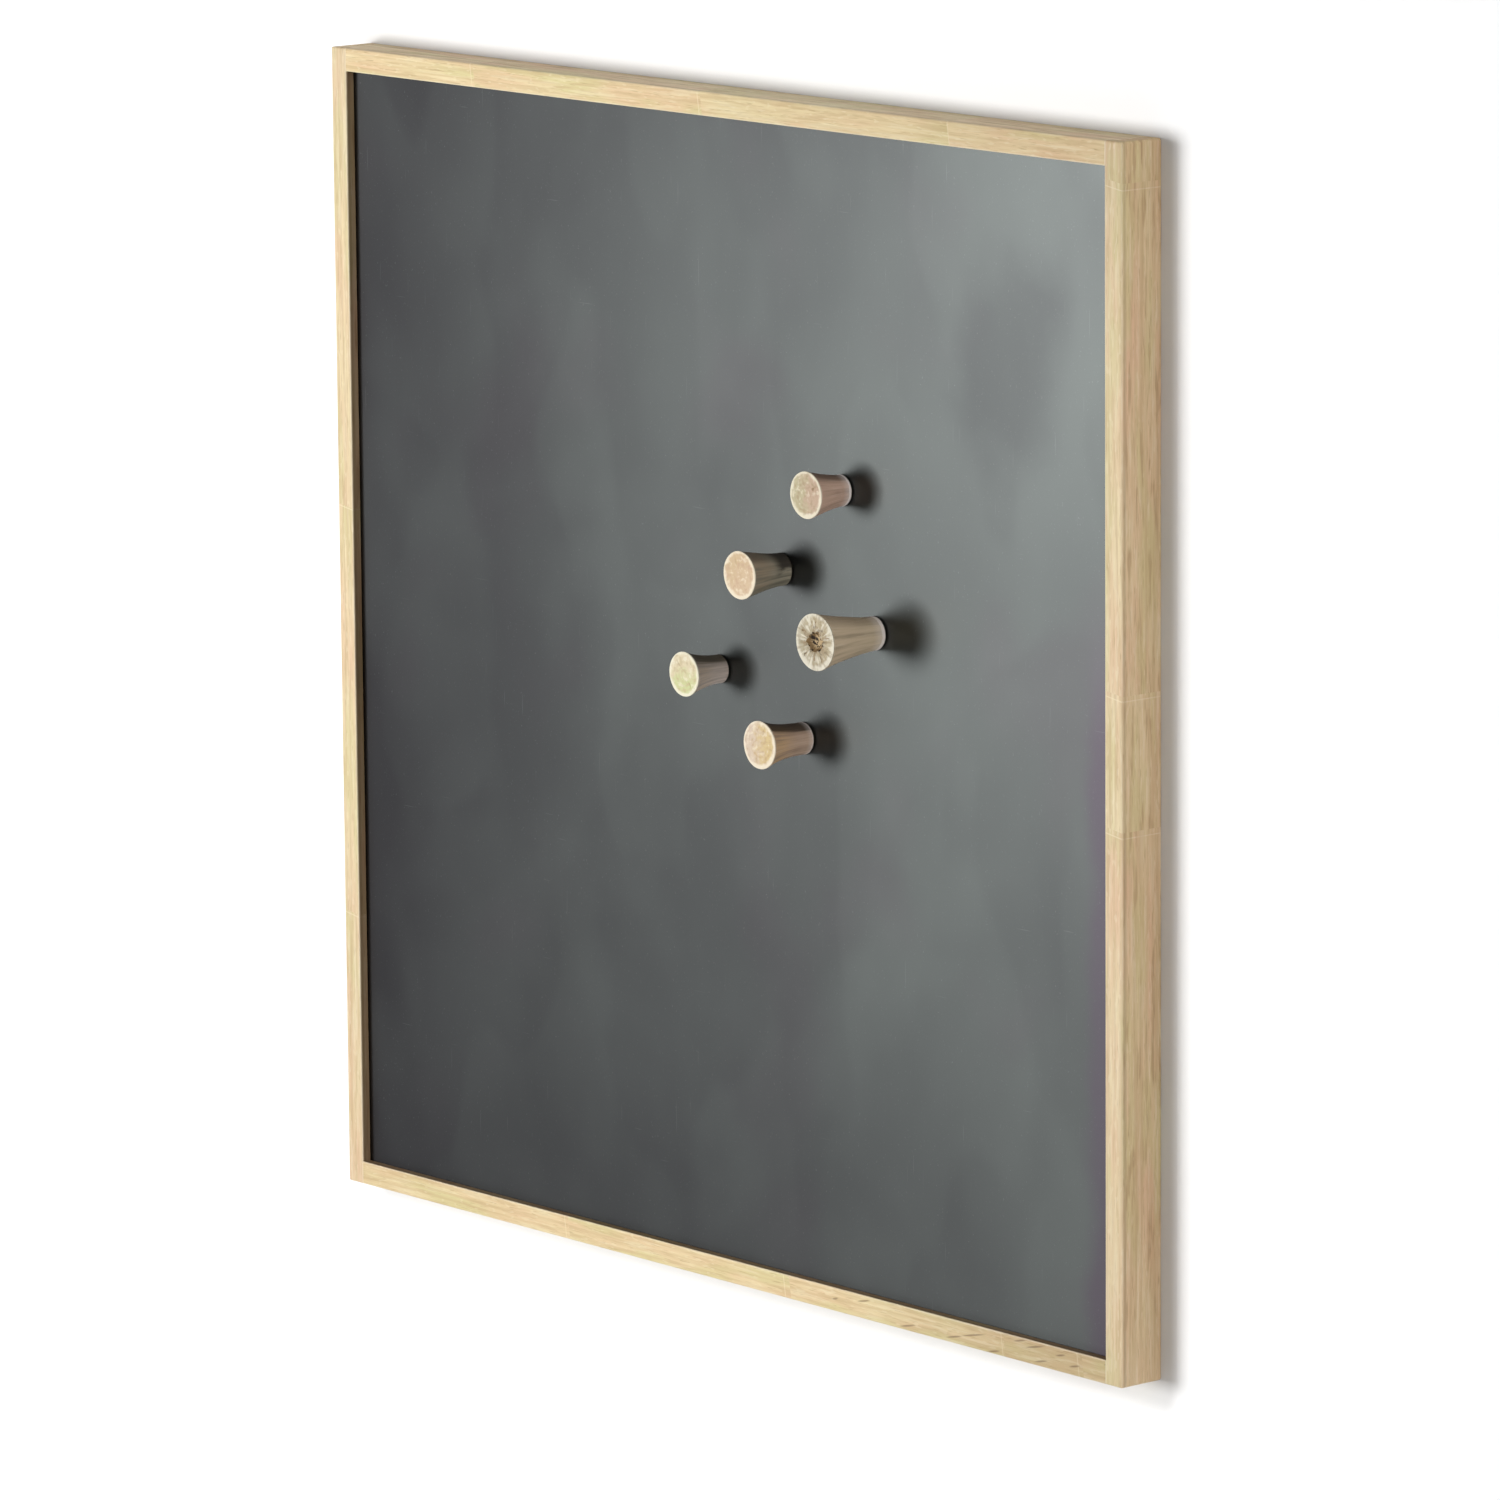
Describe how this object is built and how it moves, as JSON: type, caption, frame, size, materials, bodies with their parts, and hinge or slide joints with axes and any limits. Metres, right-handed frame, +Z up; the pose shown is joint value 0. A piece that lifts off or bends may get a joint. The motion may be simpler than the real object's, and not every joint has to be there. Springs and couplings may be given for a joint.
{
  "type": "framed magnet board",
  "caption": "Square wall board with a raw steel sheet in a deep, narrow-faced oak frame, holding flared wooden peg magnets that pull off.",
  "frame": {"origin": "middle of the top rail's back face, where the board lies against the wall", "axes": "+X to the right as seen from the front, +Y into the wall, +Z up"},
  "size_m": [0.6, 0.059, 0.6],
  "materials": {
    "oak": "oiled, fine open grain",
    "raw_steel": "raw hot-rolled sheet, waxed, cloudy satin",
    "plywood": "birch plywood, sanded, unfinished",
    "beech_bead": "planed, unfinished",
    "beech_dowel": "fluted, unfinished",
    "panel_pin": "bright drawn steel",
    "zinc_plate": "zinc plated pressed steel",
    "zinc_screw": "zinc plated",
    "nickel_disc": "nickel plated",
    "peg_wood_top": "reddish bark brown with pale sawn head",
    "peg_wood_upper": "olive bark brown with pale sawn head",
    "peg_wood_large": "tan with lengthwise streaks and pale sawn head",
    "peg_wood_left": "grey bark with pale sawn head",
    "peg_wood_low": "reddish bark brown with pale sawn head"
  },
  "bodies": {
    "board": {"left_stile": "oak", "right_stile": "oak", "top_rail": "oak", "bottom_rail": "oak", "steel_sheet": "raw_steel", "backing_board": "plywood", "bead_left": "beech_bead", "bead_right": "beech_bead", "bead_top": "beech_bead", "bead_bottom": "beech_bead", "dowel_top_left_front": "beech_dowel", "dowel_top_left_back": "beech_dowel", "dowel_top_right_front": "beech_dowel", "dowel_top_right_back": "beech_dowel", "dowel_bottom_left_front": "beech_dowel", "dowel_bottom_left_back": "beech_dowel", "dowel_bottom_right_front": "beech_dowel", "dowel_bottom_right_back": "beech_dowel", "pin_left_1": "panel_pin", "pin_left_2": "panel_pin", "pin_left_3": "panel_pin", "pin_right_1": "panel_pin", "pin_right_2": "panel_pin", "pin_right_3": "panel_pin", "pin_top_1": "panel_pin", "pin_top_2": "panel_pin", "pin_top_3": "panel_pin", "pin_bottom_1": "panel_pin", "pin_bottom_2": "panel_pin", "pin_bottom_3": "panel_pin", "hanger_plate_left": "zinc_plate", "hanger_plate_right": "zinc_plate", "hanger_screw_left_upper": "zinc_screw", "hanger_screw_left_lower": "zinc_screw", "hanger_screw_right_upper": "zinc_screw", "hanger_screw_right_lower": "zinc_screw"},
    "magnet_top": {"peg_top": "peg_wood_top", "disc_top": "nickel_disc"},
    "magnet_upper": {"peg_upper": "peg_wood_upper", "disc_upper": "nickel_disc"},
    "magnet_large": {"peg_large": "peg_wood_large", "disc_large": "nickel_disc"},
    "magnet_left": {"peg_left": "peg_wood_left", "disc_left": "nickel_disc"},
    "magnet_low": {"peg_low": "peg_wood_low", "disc_low": "nickel_disc"}
  },
  "joints": [
    {"name": "pull_top", "type": "slide", "parent": "board", "child": "magnet_top", "axis": [0, -1, 0], "range_m": [0, 0.06]},
    {"name": "pull_upper", "type": "slide", "parent": "board", "child": "magnet_upper", "axis": [0, -1, 0], "range_m": [0, 0.06]},
    {"name": "pull_large", "type": "slide", "parent": "board", "child": "magnet_large", "axis": [0, -1, 0], "range_m": [0, 0.06]},
    {"name": "pull_left", "type": "slide", "parent": "board", "child": "magnet_left", "axis": [0, -1, 0], "range_m": [0, 0.06]},
    {"name": "pull_low", "type": "slide", "parent": "board", "child": "magnet_low", "axis": [0, -1, 0], "range_m": [0, 0.06]}
  ]
}
